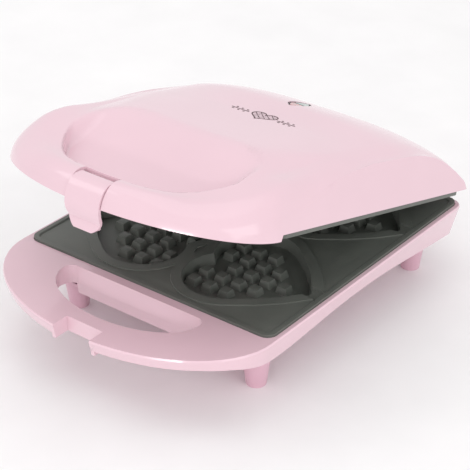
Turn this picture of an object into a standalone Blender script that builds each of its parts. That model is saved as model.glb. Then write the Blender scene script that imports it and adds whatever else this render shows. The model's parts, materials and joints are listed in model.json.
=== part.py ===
"""A heart waffle maker: base with D-shaped handle, hinged lid, two heart plates and a front latch clip.

The model is in metres with +Z up, and its front is towards -Y. Sizes below are in millimetres.
The base is drawn round the middle of its plate, and the lid as if closed. Two empties place them:
one sets the plate's middle in the world, the other is on the hinge axis and holds the lid open.
"""

import math

import bmesh
import bpy
from mathutils import Vector

MM = 0.001
GAP = 0.3
WALL = 2.6

# The frame: where the plate's middle lies in Y, and how far the lid stands open.
PLATE_MIDDLE_Y = 24.5
LID_OPEN_DEGREES = 15.75
HINGE_Y = 123.0
HINGE_Z = 52.0

# Base housing.
LEDGE_Z = 51.7
HALF_WIDTH = 104.0
REAR_Y = 112.0
HANDLE_Y = -112.0
HANDLE_REACH = 66.0
REAR_CORNER = 9.0
DRAFT = 0.25
SKIRT_HANDLE_Z = 44.0
SKIRT_FRONT_Z = 35.5
SKIRT_REAR_Z = 28.7
SKIRT_ARCH_Z = 40.3
HOLE_HALF = 56.5
HOLE_REAR_Y = -116.5
HOLE_FRONT_Y = -154.5
HOLE_SLOPE = 0.12
FRONT_WALL_Z = 28.7
NOTCH_HALF = 14.7
NOTCH_Y = -164.2
NOTCH_SIDE_Y = -175.2
NOTCH_WALL_Z = 41.0
SHELF_Z = 50.1
SHELF_DEPTH = 2.6
SHELF_HALF_X = 93.0
SHELF_HALF_Y = 102.0
GUSSET_X = 33.0
GUSSET_Y = 42.0

# Cooking plates.
PLATE_HALF_X = 100.0
PLATE_HALF_Y = 109.6
RIM_Z = 53.4
FIELD_Z = 52.4
LAND_Z = 53.2
FLANGE_Z = 50.4
PLATE_CORNER = 7.0
RIM_WIDTH = 4.0
CAVITY_FLOOR_Z = 45.0
CUP_BOTTOM_Z = 42.6
HEART_Y = 51.7
LOBE_X = 34.0
LOBE_Y = 16.8
LOBE_R = 28.6
LOBE_END_DEGREES = 55.0
TIP_X = 89.0
CHANNEL_HALF = 5.7
CHANNEL_END_X = 96.0
LAND_WIDTH = 6.8
STUD_PITCH = 13.2
STUD_BASE = 9.2
STUD_TOP = 6.4
STUD_HEIGHT = 5.0
MIRROR_Z = 53.6

# Feet and bottom cover.
FOOT_X = 75.8
FOOT_Y = 90.5
FOOT_BOTTOM_R = 6.6
FOOT_TOP_R = 10.6
FOOT_WELL_R = 3.7
COVER_Z = 29.0
COVER_THICK = 2.4
COVER_HALF_X = 88.6
COVER_FRONT_Y = -110.0
COVER_REAR_Y = 101.0
SCREW_SEAT_Z = 22.0

# Posts and screws.
POST_R = 4.4
SHANK_R = 1.4
TAP_R = 1.7

# Lid.
LID_HALF_WIDTH = 102.4
LID_SIDE_Z = 57.8
LID_BAR_Z = 53.8
LID_DRAFT = 0.35
LID_REAR_Y = 118.0
LID_FRONT_Y = -112.0
LID_REACH = 60.5
LID_TOP_Z = 98.0
BAR_Z = 70.5
LID_INSET = 40.0
CREASE_PEAK_Y = 15.0
CREASE_PEAK_Z = 86.5
POCKET_FLOOR_Z = 60.0
POCKET_HALF = 68.0
LATCH_HALF = 13.4
PIN_Y = -161.5
PIN_Z = 66.0
PIN_R = 1.6

# Where the knuckles and ears stand along the hinge axis, and the hinge pins.
EAR_X = (58.0, 66.0)
LUG_X = (48.0, 57.4)
HINGE_PIN_R = 2.0
PIN_BORE_R = 2.3

# Inside the lid.
FRAME_Z = 58.4
LID_POST_X = 79.0
LID_POST_Y = 89.0
WINDOW_Y = 42.0
WINDOW_HALF_Y = 12.7
WINDOW_HALF_X = 6.4
WINDOW_SLANT = 0.2

# Behind each plate.
ELEMENT_Z = 38.8
ELEMENT_R = 3.2
ELEMENT_HALF_X = 66.0
ELEMENT_HALF_Y = 74.0
ELEMENT_LEAD_X = 18.0
REFLECTOR_Z = 33.6
TRAY_HALF_X = 82.0
TRAY_HALF_Y = 92.0
TRAY_RIM_Z = 41.8
BOSS_Y = 64.0
INLET_X = 30.0
INLET_Z = 40.0
INLET_Y = 109.0
INLET_R = 4.8

PINK = ("housing_pink", (0.86, 0.58, 0.66), 0.0, 0.22)
PINK_DARK = ("cover_pink", (0.80, 0.50, 0.58), 0.0, 0.35)
COATING = ("nonstick_coating", (0.055, 0.058, 0.052), 0.3, 0.42)
STEEL = ("steel", (0.62, 0.62, 0.62), 1.0, 0.3)
ALUMINISED = ("aluminised_sheet", (0.70, 0.70, 0.69), 1.0, 0.4)
ELEMENT = ("element_sheath", (0.30, 0.29, 0.28), 1.0, 0.5)
RED_LENS = ("red_lens", (0.70, 0.08, 0.08), 0.0, 0.1)
GREEN_LENS = ("green_lens", (0.30, 0.45, 0.38), 0.0, 0.1)
BEZEL = ("bezel_grey", (0.10, 0.10, 0.11), 0.0, 0.4)
CERAMIC = ("ceramic", (0.85, 0.83, 0.78), 0.0, 0.6)
GLASS = ("lamp_glass", (0.85, 0.80, 0.78), 0.0, 0.05)
RUBBER = ("grommet_black", (0.03, 0.03, 0.03), 0.0, 0.7)

materials = {}
parts = None
cutters = None
base_frame = None
lid_frame = None
latch_frame = None


def clear_scene():
    for obj in list(bpy.data.objects):
        bpy.data.objects.remove(obj, do_unlink=True)


def new_collection(name):
    collection = bpy.data.collections.new(name)
    bpy.context.scene.collection.children.link(collection)
    return collection


def material(look):
    name, colour, metallic, roughness = look
    if name not in materials:
        made = bpy.data.materials.new(name)
        made.use_nodes = True
        shader = made.node_tree.nodes["Principled BSDF"]
        shader.inputs["Base Color"].default_value = (*colour, 1.0)
        shader.inputs["Metallic"].default_value = metallic
        shader.inputs["Roughness"].default_value = roughness
        made.diffuse_color = (*colour, 1.0)
        materials[name] = made
    return materials[name]


def add_object(name, mesh, look, frame=None):
    """A part when it has a look, and otherwise a cutter. The lid's pieces are drawn closed."""
    obj = bpy.data.objects.new(name, mesh)
    obj.parent = frame or base_frame
    if obj.parent != base_frame:
        obj.location = -frame_origin(frame)
    if look:
        parts.objects.link(obj)
        obj.data.materials.append(material(look))
    else:
        cutters.objects.link(obj)
        obj.hide_render = True
        obj.display_type = "WIRE"
    return obj


def frame_origin(frame):
    """Where a moving frame's axis passes, in the closed lid's own millimetre drawing."""
    place = (0, HINGE_Y, HINGE_Z) if frame is lid_frame else (0, PIN_Y, PIN_Z)
    return Vector(place) * MM


def new_frame(name, location, parent=None, turn=0.0):
    """An empty that places pieces and, where they move, marks their axis."""
    frame = bpy.data.objects.new(name, None)
    frame.location = Vector(location) * MM
    frame.rotation_euler = (turn, 0.0, 0.0)
    frame.parent = parent
    parts.objects.link(frame)
    return frame


def finish_mesh(bm, name, smooth_degrees=30.0):
    bmesh.ops.recalc_face_normals(bm, faces=bm.faces)
    bmesh.ops.scale(bm, vec=(MM, MM, MM), verts=bm.verts)
    mesh = bpy.data.meshes.new(name)
    bm.to_mesh(mesh)
    bm.free()
    mesh.shade_smooth()
    mesh.set_sharp_from_angle(angle=math.radians(smooth_degrees))
    return mesh


def finish_open_mesh(bm, name):
    """As finish_mesh, for an open surface that a Solidify modifier thickens downwards."""
    bmesh.ops.triangulate(bm, faces=bm.faces)
    bmesh.ops.scale(bm, vec=(MM, MM, MM), verts=bm.verts)
    bmesh.ops.recalc_face_normals(bm, faces=bm.faces)
    bm.faces.ensure_lookup_table()
    if bm.faces[len(bm.faces) - 1].normal.z < 0:
        bmesh.ops.reverse_faces(bm, faces=bm.faces)
    mesh = bpy.data.meshes.new(name)
    bm.to_mesh(mesh)
    bm.free()
    mesh.shade_smooth()
    mesh.set_sharp_from_angle(angle=math.radians(30))
    return mesh


def ring_verts(bm, points, z):
    """Vertices along a closed outline. z is one height, or a function of the point."""
    height = z if callable(z) else (lambda point: z)
    return [bm.verts.new((point[0], point[1], height(point))) for point in points]


def bridge(bm, lower, upper):
    count = len(lower)
    for i in range(count):
        j = (i + 1) % count
        bm.faces.new((lower[i], lower[j], upper[j], upper[i]))


def loft(name, levels, look=None, frame=None):
    """A closed solid through outlines of equal length: levels is a list of (points, z)."""
    bm = bmesh.new()
    rings = [ring_verts(bm, points, z) for points, z in levels]
    for lower, upper in zip(rings, rings[1:]):
        bridge(bm, lower, upper)
    bmesh.ops.triangulate(bm, faces=bm.faces)
    bm.faces.new(rings[0][::-1])
    bm.faces.new(rings[-1])
    return add_object(name, finish_mesh(bm, name), look, frame)


def prism(name, points, low, high, look=None, frame=None):
    return loft(name, [(points, low), (points, high)], look, frame)


def sweep(name, profile, axis, low, high, look=None, frame=None):
    """A prism along X or Y: profile holds (y, z) points for X and (x, z) points for Y."""
    bm = bmesh.new()
    ends = []
    for at in (low, high):
        places = [(at, a, z) if axis == "X" else (a, at, z) for a, z in profile]
        ends.append([bm.verts.new(place) for place in places])
    bridge(bm, ends[0], ends[1])
    bm.faces.new(ends[0])
    bm.faces.new(ends[1])
    return add_object(name, finish_mesh(bm, name), look, frame)


def box(name, low, high, look=None, frame=None):
    bm = bmesh.new()
    bmesh.ops.create_cube(bm, size=1.0)
    for vert in bm.verts:
        for axis in range(3):
            vert.co[axis] = low[axis] if vert.co[axis] < 0 else high[axis]
    return add_object(name, finish_mesh(bm, name), look, frame)


def rod(name, start, end, radius, look=None, frame=None, end_radius=None, segments=20):
    start, end = Vector(start), Vector(end)
    bm = bmesh.new()
    bmesh.ops.create_cone(
        bm,
        cap_ends=True,
        segments=segments,
        radius1=radius,
        radius2=radius if end_radius is None else end_radius,
        depth=(end - start).length,
    )
    turn = Vector((0, 0, 1)).rotation_difference(end - start).to_matrix()
    bmesh.ops.rotate(bm, cent=(0, 0, 0), matrix=turn, verts=bm.verts)
    bmesh.ops.translate(bm, vec=(start + end) / 2, verts=bm.verts)
    return add_object(name, finish_mesh(bm, name), look, frame)


def turned(name, profile, place, look, frame=None, along_y=False, segments=24):
    """A solid turned round an upright axis, or one along Y: profile holds (radius, height) points."""
    bm = bmesh.new()
    rings = []
    for radius, height in profile:
        if radius == 0:
            rings.append([bm.verts.new((0, 0, height))])
            continue
        circle = arc((0, 0), radius, 0, 360 - 360 / segments, segments - 1)
        rings.append([bm.verts.new((x, y, height)) for x, y in circle])
    for lower, upper in zip(rings, rings[1:]):
        if len(lower) == 1 or len(upper) == 1:
            tip, ring = (lower[0], upper) if len(lower) == 1 else (upper[0], lower)
            for i in range(segments):
                bm.faces.new((tip, ring[i], ring[(i + 1) % segments]))
        else:
            bridge(bm, lower, upper)
    for end in (rings[0], rings[-1]):
        if len(end) > 1:
            bm.faces.new(end)
    if along_y:
        turn = Vector((0, 0, 1)).rotation_difference(Vector((0, 1, 0))).to_matrix()
        bmesh.ops.rotate(bm, cent=(0, 0, 0), matrix=turn, verts=bm.verts)
    bmesh.ops.translate(bm, vec=place, verts=bm.verts)
    return add_object(name, finish_mesh(bm, name), look, frame)


def tube(name, route, radius, look, frame=None):
    """A tube along a smooth route of points, with filled caps."""
    curve = bpy.data.curves.new(name, "CURVE")
    curve.dimensions = "3D"
    curve.bevel_depth = radius * MM
    curve.bevel_resolution = 1
    curve.use_fill_caps = True
    spline = curve.splines.new("POLY")
    spline.points.add(len(route) - 1)
    for point, place in zip(spline.points, route):
        point.co = (*(MM * value for value in place), 1.0)
    return add_object(name, curve, look, frame)


def cut(target, cutter, operation="DIFFERENCE"):
    modifier = target.modifiers.new(cutter.name, "BOOLEAN")
    modifier.operation = operation
    modifier.object = cutter
    modifier.solver = "EXACT"


def arc(centre, radius, start, end, steps):
    """Points along an arc, angles in degrees. radius may be a pair for an ellipse."""
    rx, ry = radius if isinstance(radius, tuple) else (radius, radius)
    angles = [math.radians(start + (end - start) * i / steps) for i in range(steps + 1)]
    return [(centre[0] + rx * math.cos(a), centre[1] + ry * math.sin(a)) for a in angles]


def along(start, end, share):
    return [a + (b - a) * share for a, b in zip(start, end)]


def mirrored(half):
    """A closed outline from its +X half, which runs from the front middle to the rear middle."""
    left = [(-x, y) for x, y in reversed(half) if x > 1e-6]
    return half + left


def corner_places(x, y):
    """The name and place of each of four posts or feet."""
    return {
        "left_front": (-x, -y),
        "left_rear": (-x, y),
        "right_front": (x, -y),
        "right_rear": (x, y),
    }


def rounded_rectangle(half_x, half_y, radius, steps=5, middle=(0, 0)):
    points = []
    for turn, (sx, sy) in enumerate(((1, 1), (-1, 1), (-1, -1), (1, -1))):
        centre = (middle[0] + sx * (half_x - radius), middle[1] + sy * (half_y - radius))
        points += arc(centre, radius, 90 * turn, 90 * turn + 90, steps)
    return points


def between(value, low, high):
    """0 below low, 1 above high, and a smooth rise from one to the other."""
    t = min(max((value - low) / (high - low), 0.0), 1.0)
    return t * t * (3 - 2 * t)


def d_outline(half_width, rear, corner, front, reach, front_steps=16, side_steps=7):
    """The base's or lid's outline from above: half ellipse in front, straight sides, round rear corners."""
    half = arc((0, front), (half_width, reach), -90, 0, front_steps)
    half.append((half_width, front + 1.0))
    for i in range(1, side_steps):
        half.append((half_width, front + (rear - corner - front) * i / side_steps))
    half += arc((half_width - corner, rear - corner), corner, 0, 90, 4)
    half.append((half_width * 0.7, rear))
    half.append((half_width * 0.3, rear))
    half.append((0.0, rear))
    return mirrored(half)


def base_outline(inset):
    return d_outline(
        HALF_WIDTH - inset,
        REAR_Y - inset,
        max(REAR_CORNER - inset, 1.5),
        HANDLE_Y,
        HANDLE_REACH - inset,
    )


def hole_outline(grow, z):
    """The finger hole at height z. Its rear side slopes back as it goes down."""
    middle = HOLE_REAR_Y - 6.0
    front = arc((0, middle), (HOLE_HALF + grow, middle - HOLE_FRONT_Y + grow), 180, 360, 16)
    corner = 6.0 + grow
    rear = HOLE_REAR_Y + grow + HOLE_SLOPE * (LEDGE_Z - z)
    right = arc((HOLE_HALF + grow - corner, rear - corner), corner, 0, 90, 4)
    left = arc((-HOLE_HALF - grow + corner, rear - corner), corner, 90, 180, 4)
    return front[1:-1] + right + left


def skirt_cutter():
    """Everything under the skirt's lower edge, which rises to a low arch along each side."""
    low = 5.0
    edge = [(-200.0, SKIRT_HANDLE_Z)]
    steps = 18
    for i in range(steps):
        y = -152.0 + 254.0 * i / steps
        z = SKIRT_HANDLE_Z - (SKIRT_HANDLE_Z - SKIRT_FRONT_Z) * between(y, -152.0, -102.0)
        z += (SKIRT_ARCH_Z - SKIRT_FRONT_Z) * between(y, -100.0, -25.0)
        z -= (SKIRT_ARCH_Z - SKIRT_REAR_Z) * between(y, -15.0, 118.0) ** 1.1
        edge.append((y, z))
    edge += [(102.0, SKIRT_REAR_Z), (160.0, SKIRT_REAR_Z)]
    return sweep("cut_skirt", edge + [(160.0, low), (-200.0, low)], "X", -130.0, 130.0)


def front_wall():
    """The body's front wall, which goes down behind the finger hole as far as the bottom cover."""
    profile = []
    for thickness, z in ((0.2, 45.0), (0.2, FRONT_WALL_Z), (WALL + 0.5, FRONT_WALL_Z), (WALL + 0.5, 45.0)):
        profile.append((HOLE_REAR_Y + HOLE_SLOPE * (LEDGE_Z - z) + thickness, z))
    return sweep("add_front_wall", profile, "X", -53.5, 53.5)


def shelf_opening():
    """The lower opening of the plate seat: a rectangle whose corners are cut off by gussets."""
    x, y = SHELF_HALF_X, SHELF_HALF_Y
    corners = [(x, y - GUSSET_Y), (x - GUSSET_X, y), (GUSSET_X - x, y), (-x, y - GUSSET_Y)]
    return corners + [(-x, GUSSET_Y - y), (GUSSET_X - x, -y), (x - GUSSET_X, -y), (x, GUSSET_Y - y)]


def make_base_housing():
    depth = LEDGE_Z - 20.0
    shell = loft(
        "base_housing",
        [
            (base_outline(DRAFT * depth), 20.0),
            (base_outline(DRAFT * 1.2), LEDGE_Z - 1.2),
            (base_outline(0.9), LEDGE_Z),
        ],
        PINK,
    )
    hollow = loft(
        "cut_base_hollow",
        [
            (base_outline(WALL + DRAFT * (depth + 4.0)), 16.0),
            (base_outline(WALL + DRAFT * WALL), LEDGE_Z - WALL),
        ],
    )
    kept = loft("keep_hole_wall", [(hole_outline(WALL, z), z) for z in (10.0, 60.0)])
    cut(hollow, kept)
    # The shelf that carries the plate's flange stays inside the hollow.
    shelf = loft(
        "keep_shelf",
        [(base_outline(1.0), SHELF_Z - SHELF_DEPTH), (base_outline(1.0), 60.0)],
    )
    handle_side = box("cut_shelf_front", (-130, -200, 0), (130, HOLE_REAR_Y + 1.2, 70))
    cut(shelf, handle_side)
    cut(hollow, shelf)
    cut(shell, hollow)
    for side, foot in corner_places(FOOT_X, FOOT_Y).items():
        ends = ((*foot, COVER_Z + COVER_THICK + GAP), (*foot, SHELF_Z - 0.6))
        cut(shell, rod("add_post_" + side, *ends, POST_R, segments=14), "UNION")
    seat = rounded_rectangle(PLATE_HALF_X + 0.4, PLATE_HALF_Y + 0.4, PLATE_CORNER + 0.4)
    cut(shell, prism("cut_plate_seat", seat, SHELF_Z, 60.0))
    cut(shell, prism("cut_shelf", shelf_opening(), 40.0, 60.0))
    cut(shell, loft("cut_finger_hole", [(hole_outline(0.0, z), z) for z in (0.0, 70.0)]))
    cut(shell, skirt_cutter())
    cut(shell, front_wall(), "UNION")
    notch_wall = box(
        "add_notch_wall",
        (-NOTCH_HALF - WALL, NOTCH_Y - 1.0, NOTCH_WALL_Z),
        (NOTCH_HALF + WALL, NOTCH_Y + WALL, LEDGE_Z - 1.3),
    )
    cut(shell, notch_wall, "UNION")
    for side, sx in (("left", -1), ("right", 1)):
        near, far = sorted((sx * (NOTCH_HALF - 0.5), sx * (NOTCH_HALF + WALL)))
        ends = ((near, NOTCH_SIDE_Y, NOTCH_WALL_Z), (far, NOTCH_Y + 0.6, LEDGE_Z - 1.1))
        cut(shell, box("add_notch_side_" + side, *ends), "UNION")
    cut(shell, box("cut_notch", (-NOTCH_HALF, -200, 10), (NOTCH_HALF, NOTCH_Y, 70)))
    for sx in (-1, 1):
        add_hinge_ear(shell, sx)
    for side, foot in corner_places(FOOT_X, FOOT_Y).items():
        cut(shell, rod("cut_screw_" + side, (*foot, 26.0), (*foot, 44.0), TAP_R, segments=12))
    ends = ((INLET_X, REAR_Y - 20, INLET_Z), (INLET_X, REAR_Y + 10, INLET_Z))
    cut(shell, rod("cut_cord_inlet", *ends, INLET_R + 0.4))
    return shell


def add_hinge_ear(shell, side):
    """An ear on the rear wall, with the pin's bore on the hinge axis."""
    name = ("left", "right")[side > 0]
    low, high = sorted((side * EAR_X[0], side * EAR_X[1]))
    outline = [(REAR_Y - 5.0, 37.0), (REAR_Y - 3.2, 46.0), (REAR_Y - 1.4, 50.6)]
    outline += arc((HINGE_Y, HINGE_Z), 5.0, 130, -70, 10)
    outline += [(REAR_Y + 0.5, 37.0)]
    cut(shell, sweep("add_ear_" + name, outline, "X", low, high), "UNION")
    ends = ((low - 2, HINGE_Y, HINGE_Z), (high + 2, HINGE_Y, HINGE_Z))
    cut(shell, rod("cut_ear_" + name, *ends, PIN_BORE_R))


def make_bottom_cover():
    corner = 14.0
    middle_y = (COVER_REAR_Y + COVER_FRONT_Y) / 2
    half_y = (COVER_REAR_Y - COVER_FRONT_Y) / 2
    outline = rounded_rectangle(COVER_HALF_X, half_y, corner, middle=(0, middle_y))
    cover = prism("bottom_cover", outline, COVER_Z, COVER_Z + COVER_THICK, PINK_DARK)
    for side, foot in corner_places(FOOT_X, FOOT_Y).items():
        cone = rod(
            "add_foot_" + side,
            (*foot, 0.0),
            (*foot, COVER_Z + 1.0),
            FOOT_BOTTOM_R,
            end_radius=FOOT_TOP_R,
            segments=24,
        )
        cut(cover, cone, "UNION")
    for side, foot in corner_places(FOOT_X, FOOT_Y).items():
        cut(cover, rod("cut_well_" + side, (*foot, -5.0), (*foot, SCREW_SEAT_Z), FOOT_WELL_R))
        cut(cover, rod("cut_shank_" + side, (*foot, 10.0), (*foot, 40.0), 2.0, segments=12))
        make_screw(
            "screw_foot_" + side,
            (*foot, SCREW_SEAT_Z - GAP),
            head_radius=3.1,
            shank_end=43.0 - SCREW_SEAT_Z + GAP,
            frame=base_frame,
        )
    return cover


def make_screw(name, seat, head_radius, shank_end, frame, up=1, head_height=2.0):
    """A pan-head screw whose head bears on seat. Its shank runs up, or down when up is -1."""
    profile = [
        (0, -head_height),
        (head_radius * 0.7, -head_height),
        (head_radius, -0.6 * head_height),
        (head_radius, 0.0),
        (SHANK_R, 0.0),
        (SHANK_R, shank_end - 1.0),
        (0, shank_end),
    ]
    if up < 0:
        profile = [(radius, -height) for radius, height in profile]
    return turned(name, profile, seat, STEEL, frame, segments=8)


def heart_outline(grow, side, row, drop=0.0, steps=12):
    """One heart: side is the way its tip points in X, row its middle in Y. drop narrows it for draft."""
    radius = LOBE_R + grow - drop
    tip = TIP_X + grow * 1.1 - drop
    channel = CHANNEL_HALF * 0.25 + max(grow, 0) * 0.4
    cleft = 180 + math.degrees(math.asin(LOBE_Y / radius))
    lobe = arc((LOBE_X, LOBE_Y), radius, cleft, LOBE_END_DEGREES, steps)
    end = lobe[-1]
    bulge = 3.0
    flank = []
    for i in range(1, 4):
        t = i / 3
        normal = 4 * bulge * t * (1 - t)
        x, y = along(end, (tip, channel), t)
        flank.append((x + 0.67 * normal, y + 0.74 * normal))
    upper = lobe + flank
    lower = [(x, -y) for x, y in reversed(upper)]
    loop = upper + lower[:-1]
    return [(side * x, row + y) for x, y in loop]


def make_plate(name, frame, up):
    """A cast plate. up is 1 for the lower plate and -1 for the upper one, its mirror image."""

    def level(z):
        return z if up > 0 else 2 * MIRROR_Z - z

    def solid(label, points, low, high):
        a, b = sorted((level(low), level(high)))
        return prism(name + "_" + label, points, a, b, None, frame)

    def tapered(label, lower, low, upper, high):
        levels = [(lower, level(low)), (upper, level(high))]
        return loft(name + "_" + label, sorted(levels, key=lambda item: item[1]), None, frame)

    outline = rounded_rectangle(PLATE_HALF_X, PLATE_HALF_Y, PLATE_CORNER)
    a, b = sorted((level(FLANGE_Z), level(RIM_Z)))
    plate = prism(name, outline, a, b, COATING, frame)
    field_low = rounded_rectangle(PLATE_HALF_X - RIM_WIDTH, PLATE_HALF_Y - RIM_WIDTH, 4.0)
    field_top = rounded_rectangle(PLATE_HALF_X - RIM_WIDTH + 1.6, PLATE_HALF_Y - RIM_WIDTH + 1.6, 5.4)
    cut(plate, tapered("cut_field", field_low, FIELD_Z, field_top, RIM_Z + 0.6))
    for number, y in enumerate((-BOSS_Y, 0.0, BOSS_Y)):
        ends = ((0, y, level(REFLECTOR_Z + 0.8 + GAP)), (0, y, level(FLANGE_Z + 0.6)))
        cut(plate, rod("%s_add_boss_%d" % (name, number), *ends, 4.6, None, frame), "UNION")
    hearts = [(side, row) for side in (-1, 1) for row in (-HEART_Y, HEART_Y)]
    for number, (side, row) in enumerate(hearts):
        outline = heart_outline(LAND_WIDTH, side, row)
        cut(plate, solid("add_land_%d" % number, outline, FLANGE_Z + 0.4, LAND_Z), "UNION")
    for number, (side, row) in enumerate(hearts):
        outline = heart_outline(2.4, side, row, steps=6)
        cut(plate, solid("add_cup_%d" % number, outline, CUP_BOTTOM_Z, LAND_Z - 0.6), "UNION")
    for number, (side, row) in enumerate(hearts):
        cavity = tapered(
            "cut_heart_%d" % number,
            heart_outline(0.0, side, row, drop=1.4),
            CAVITY_FLOOR_Z,
            heart_outline(0.0, side, row),
            RIM_Z + 1.0,
        )
        for index, (u, v) in enumerate(stud_places()):
            low = square((side * u, row + v), STUD_BASE / 2)
            high = square((side * u, row + v), STUD_TOP / 2)
            heights = (CAVITY_FLOOR_Z - 1.0, CAVITY_FLOOR_Z + STUD_HEIGHT)
            stud = tapered("keep_stud_%d_%d" % (number, index), low, heights[0], high, heights[1])
            cut(cavity, stud)
        cut(plate, cavity)
        low, high = sorted((side * (TIP_X - 12.0), side * CHANNEL_END_X))
        bottom, top = sorted((level(FIELD_Z - 1.1), level(RIM_Z + 1.0)))
        ends = ((low, row - CHANNEL_HALF, bottom), (high, row + CHANNEL_HALF, top))
        cut(plate, box("%s_cut_channel_%d" % (name, number), *ends, None, frame))
    for number, y in enumerate((-BOSS_Y, 0.0, BOSS_Y)):
        ends = ((0, y, level(REFLECTOR_Z - 4.0)), (0, y, level(45.5)))
        cut(plate, rod("%s_cut_tap_%d" % (name, number), *ends, 1.8, None, frame, segments=12))
    return plate


def square(middle, half):
    signs = ((1, 1), (-1, 1), (-1, -1), (1, -1))
    return [(middle[0] + dx * half, middle[1] + dy * half) for dx, dy in signs]


def stud_places():
    """The middles of the studs in one heart, in its own axes."""
    places = []
    for column in range(6):
        u = 15.5 + STUD_PITCH * column
        for row in range(-3, 4):
            v = STUD_PITCH * row
            if inside_heart(u, v, STUD_BASE / 2 + 1.8):
                places.append((u, v))
    return places


def inside_heart(u, v, margin):
    """Whether a stud of this half size fits inside the cavity's wall."""
    v = abs(v)
    if math.hypot(u - LOBE_X, v - LOBE_Y) < LOBE_R - margin:
        return True
    flank = (TIP_X - u) * 0.94
    return u > LOBE_X and v < flank - 1.45 * margin and v < LOBE_R + LOBE_Y - margin - 1


def make_internals(prefix, frame, up):
    """The heating element, reflector and plate screws behind one plate."""

    def level(z):
        return z if up > 0 else 2 * MIRROR_Z - z

    loop = rounded_rectangle(ELEMENT_HALF_X, ELEMENT_HALF_Y, 26.0, steps=6)
    rear = [point for point in loop if point[1] > 0 and point[0] > 12.0]
    half = [(ELEMENT_LEAD_X, ELEMENT_HALF_Y + 12.0), (ELEMENT_LEAD_X, ELEMENT_HALF_Y + 6.0)]
    half += [(ELEMENT_LEAD_X + 1.5, ELEMENT_HALF_Y + 2.0), (ELEMENT_LEAD_X + 5.0, ELEMENT_HALF_Y)]
    half += sorted(rear, key=lambda point: math.atan2(point[1], point[0]), reverse=True)
    front = [point for point in loop if point[1] < 0 and point[0] > 0]
    half += sorted(front, key=lambda point: math.atan2(point[1], point[0]), reverse=True)
    route = half + [(-x, y) for x, y in reversed(half)]
    tube(
        prefix + "_heating_element",
        [(x, y, level(ELEMENT_Z)) for x, y in route],
        ELEMENT_R,
        ELEMENT,
        frame,
    )
    make_reflector(prefix + "_reflector", frame, level)
    for name, y in (("front", -BOSS_Y), ("middle", 0.0), ("rear", BOSS_Y)):
        make_screw(
            "screw_%s_plate_%s" % (prefix, name),
            (0.0, y, level(REFLECTOR_Z - GAP)),
            head_radius=3.2,
            shank_end=44.0 - REFLECTOR_Z,
            frame=frame,
            up=up,
            head_height=1.4,
        )


def make_reflector(name, frame, level):
    """A pressed tray of thin sheet that throws the element's heat back at the plate."""
    outer = rounded_rectangle(TRAY_HALF_X, TRAY_HALF_Y, 30.0)
    inner = rounded_rectangle(TRAY_HALF_X - 1.0, TRAY_HALF_Y - 1.0, 29.0)
    levels = sorted((level(REFLECTOR_Z), level(TRAY_RIM_Z)))
    tray = prism(name, outer, *levels, ALUMINISED, frame)
    hollow = sorted((level(REFLECTOR_Z + 0.8), level(TRAY_RIM_Z + 4.0)))
    cut(tray, prism(name + "_cut_hollow", inner, *hollow, None, frame))
    for number, y in enumerate((-BOSS_Y, 0.0, BOSS_Y)):
        ends = ((0, y, level(REFLECTOR_Z - 4.0)), (0, y, level(REFLECTOR_Z + 4.0)))
        cut(tray, rod("%s_cut_hole_%d" % (name, number), *ends, 2.2, None, frame, segments=12))
    low, high = sorted((level(ELEMENT_Z - ELEMENT_R - 1.0), level(TRAY_RIM_Z + 4.0)))
    reach = ELEMENT_LEAD_X + 5.0
    ends = ((-reach, TRAY_HALF_Y - 6.0, low), (reach, TRAY_HALF_Y + 6.0, high))
    cut(tray, box(name + "_cut_leads", *ends, None, frame))
    return tray


def lid_bottom(y):
    """The height of the lid's lower edge: the front bar reaches lower than the sides."""
    return LID_BAR_Z if y < LID_FRONT_Y + 0.8 else LID_SIDE_Z


def lid_dome(x, y):
    """The lid's domed top before its edges are rounded and its sides cut."""
    z = LID_TOP_Z - 10.4 * abs(x / 92.0) ** 3.26
    if y < 29.0:
        z -= 5.0 * (abs(y - 29.0) / 150.0) ** 0.81
    else:
        z -= 17.0 * (abs(y - 29.0) / 80.0) ** 1.86
    middle = max(1.0 - (x / 75.0) ** 2, 0.0)
    return z - 3.0 * middle * between(-y, -40.0, 10.0)


def pocket_front(x):
    """Where the front bar ends and the grip pocket behind it begins."""
    return -157.0 + 44.0 * (min(abs(x), POCKET_HALF + 8.0) / POCKET_HALF) ** 3.0


def lid_inside_height(x, y):
    """The dome, lowered to the front bar and hollowed by the grip pocket behind the bar."""
    bar = BAR_Z + 13.5 * between(y, -150.0, -90.0)
    behind = y - pocket_front(x)
    z = bar + (lid_dome(x, y) - bar) * between(behind, 0.0, 72.0)
    floor = POCKET_FLOOR_Z + 34.0 * between(y, -152.0, -62.0) ** 1.3 + 6.0 * between(y, -40.0, 20.0)
    inside = between(behind, 0.0, 6.5) * between(-abs(x), -POCKET_HALF, -POCKET_HALF + 10.0)
    return z - inside * max(z - floor, 0.0)


def crease_z(y):
    """The height of the crease where the lid's side wall meets its top, for an edge point at y."""
    if y < CREASE_PEAK_Y:
        share = min((CREASE_PEAK_Y - y) / (CREASE_PEAK_Y - LID_FRONT_Y), 1.0)
        return CREASE_PEAK_Z - 27.5 * share**2.3
    return CREASE_PEAK_Z - 28.5 * ((y - CREASE_PEAK_Y) / (LID_REAR_Y - CREASE_PEAK_Y)) ** 4.2


def lid_rounded(x, y, inset, edge_y):
    """The lid's top surface at a point that lies inset from the edge point whose y is edge_y."""
    inside = lid_inside_height(x, y)
    radius = 12.0 + 8.5 * between(abs(x), 30.0, 70.0)
    share = min(inset / radius, 1.0)
    front = LID_BAR_Z + (inside - LID_BAR_Z) * math.sqrt(1.0 - (1.0 - share) ** 2)
    share = min(max(inset - crease_inset(edge_y), 0.0) / 16.0, 1.0)
    low = min(crease_z(edge_y), inside)
    side = low + (inside - low) * (1.0 - (1.0 - share) ** 2.5)
    return front + (side - front) * between(edge_y, -128.0, -100.0)


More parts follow.
